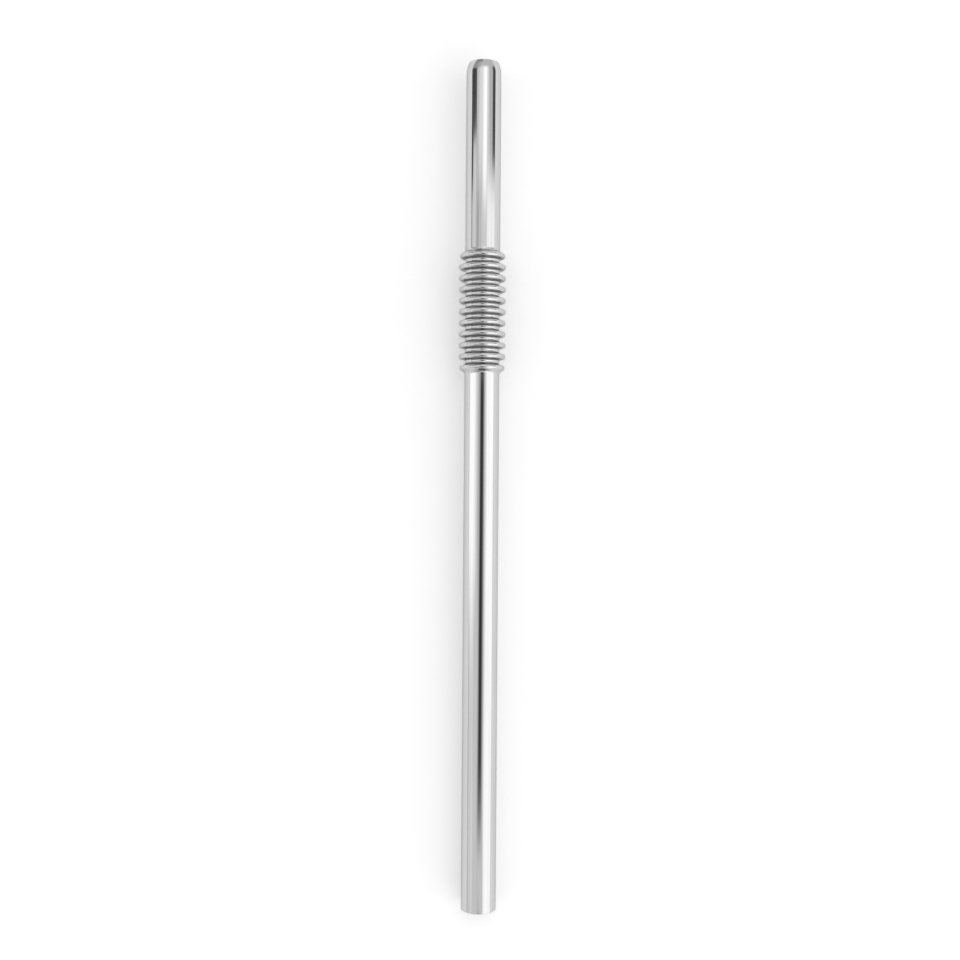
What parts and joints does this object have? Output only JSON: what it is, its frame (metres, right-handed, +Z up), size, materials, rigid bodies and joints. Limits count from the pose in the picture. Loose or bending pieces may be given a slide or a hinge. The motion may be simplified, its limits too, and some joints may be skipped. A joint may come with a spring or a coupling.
{
  "type": "stainless steel straw",
  "caption": "Polished stainless steel drinking straw: a long thin-walled tube with a bellows neck that bends to either side and stays put, and a short mouth tube with a smooth, drawn-in rim.",
  "frame": {"origin": "on the surface the straw lies on, under the middle of its length", "axes": "+Y along the straw towards the mouth end, +Z up, +X across; the straw slopes up towards the mouth by about 0.6 degrees, because it rests on its cut end and on a crest of the bellows"},
  "size_m": [0.0108, 0.1932, 0.011],
  "materials": {
    "polished_steel": "mirror polished, with faint lengthwise draw lines"
  },
  "bodies": {
    "shank": {"long_tube": "polished_steel", "bellows": "polished_steel"},
    "mouthpiece": {"mouth_tube": "polished_steel"}
  },
  "joints": [
    {"name": "neck_bend", "type": "hinge", "parent": "shank", "child": "mouthpiece", "pos_m": [0, 0.0397, 0.00548], "axis": [0, 0.0109, -0.9999], "range_deg": [-60, 60], "deforming": ["bellows"]}
  ]
}
